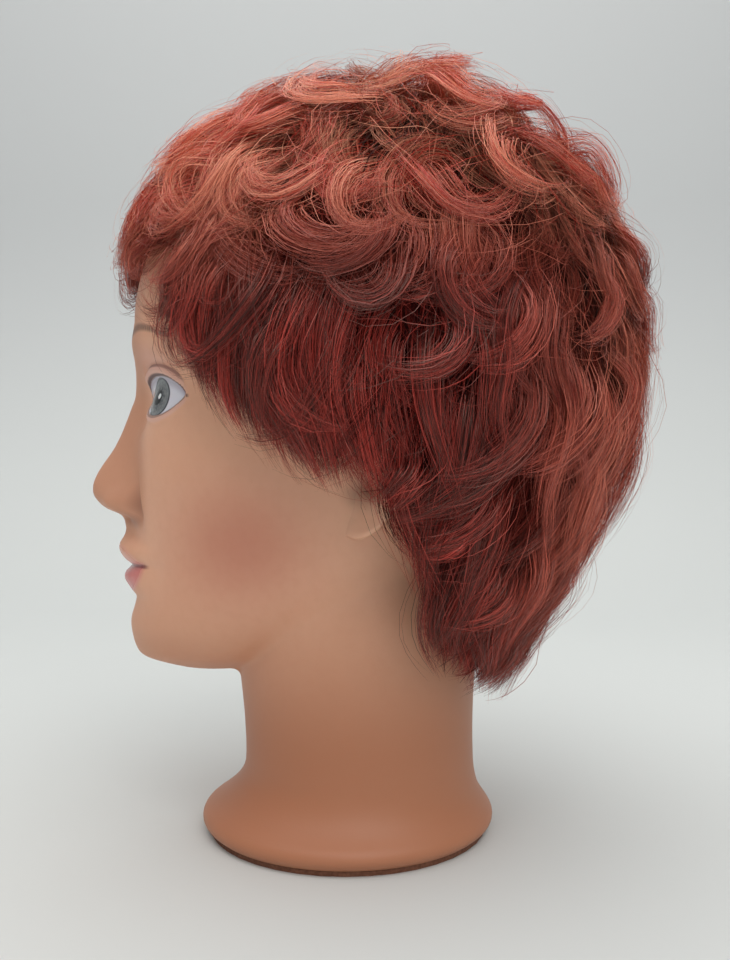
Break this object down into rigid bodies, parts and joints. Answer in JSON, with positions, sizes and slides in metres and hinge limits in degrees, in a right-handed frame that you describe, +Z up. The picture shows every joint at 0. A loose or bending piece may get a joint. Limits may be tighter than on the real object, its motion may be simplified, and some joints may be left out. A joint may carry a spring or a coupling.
{
  "type": "mannequin training head",
  "caption": "Soft vinyl female mannequin head on a flared neck base, with a short curly auburn wig that peels off, for hairdressing practice.",
  "frame": {"origin": "on the surface the head stands on, under the middle of the whole object's box", "axes": "+Z up; the face looks along -Y; +X is the head's own left"},
  "size_m": [0.2024, 0.2327, 0.326],
  "materials": {
    "vinyl": "soft satin vinyl, painted face",
    "foam": "foamed filling",
    "dark_plastic": "moulded, satin",
    "brown_pad": "matte foam rubber",
    "screw_steel": "zinc plated",
    "stay_steel": "spring strip",
    "cap_net": "stretch net and machine weft",
    "edge_tape": "skin-coloured woven tape",
    "hair": "glossy synthetic hair, auburn"
  },
  "bodies": {
    "head": {"head_skin": "vinyl", "foam_core": "foam", "neck_block": "dark_plastic", "clamp_socket": "dark_plastic", "base_plate": "dark_plastic", "base_pad": "brown_pad", "base_screw_1": "screw_steel", "base_screw_2": "screw_steel", "base_screw_3": "screw_steel", "base_screw_4": "screw_steel"},
    "wig": {"wig_cap": "cap_net", "front_band": "edge_tape", "nape_band": "edge_tape", "adjuster_strap_left": "edge_tape", "adjuster_strap_right": "edge_tape", "strap_hook_left": "dark_plastic", "strap_hook_right": "dark_plastic", "ear_edge_left": "edge_tape", "ear_edge_right": "edge_tape", "ear_tab_left": "edge_tape", "ear_tab_right": "edge_tape", "ear_tab_stay_left": "stay_steel", "ear_tab_stay_right": "stay_steel", "weft_row_1": "cap_net", "weft_row_2": "cap_net", "weft_row_3": "cap_net", "weft_row_4": "cap_net", "weft_row_5": "cap_net", "hair_crown_top": "hair", "hair_crown_front": "hair", "hair_crown_back": "hair", "hair_fringe": "hair", "hair_side_left": "hair", "hair_side_right": "hair", "hair_back_upper": "hair", "hair_back_lower": "hair", "hair_nape": "hair"}
  },
  "joints": [
    {"name": "wig_peel", "type": "hinge", "parent": "head", "child": "wig", "pos_m": [0, -0.10145, 0.207], "axis": [1, 0, 0], "range_deg": [0, 80]}
  ]
}
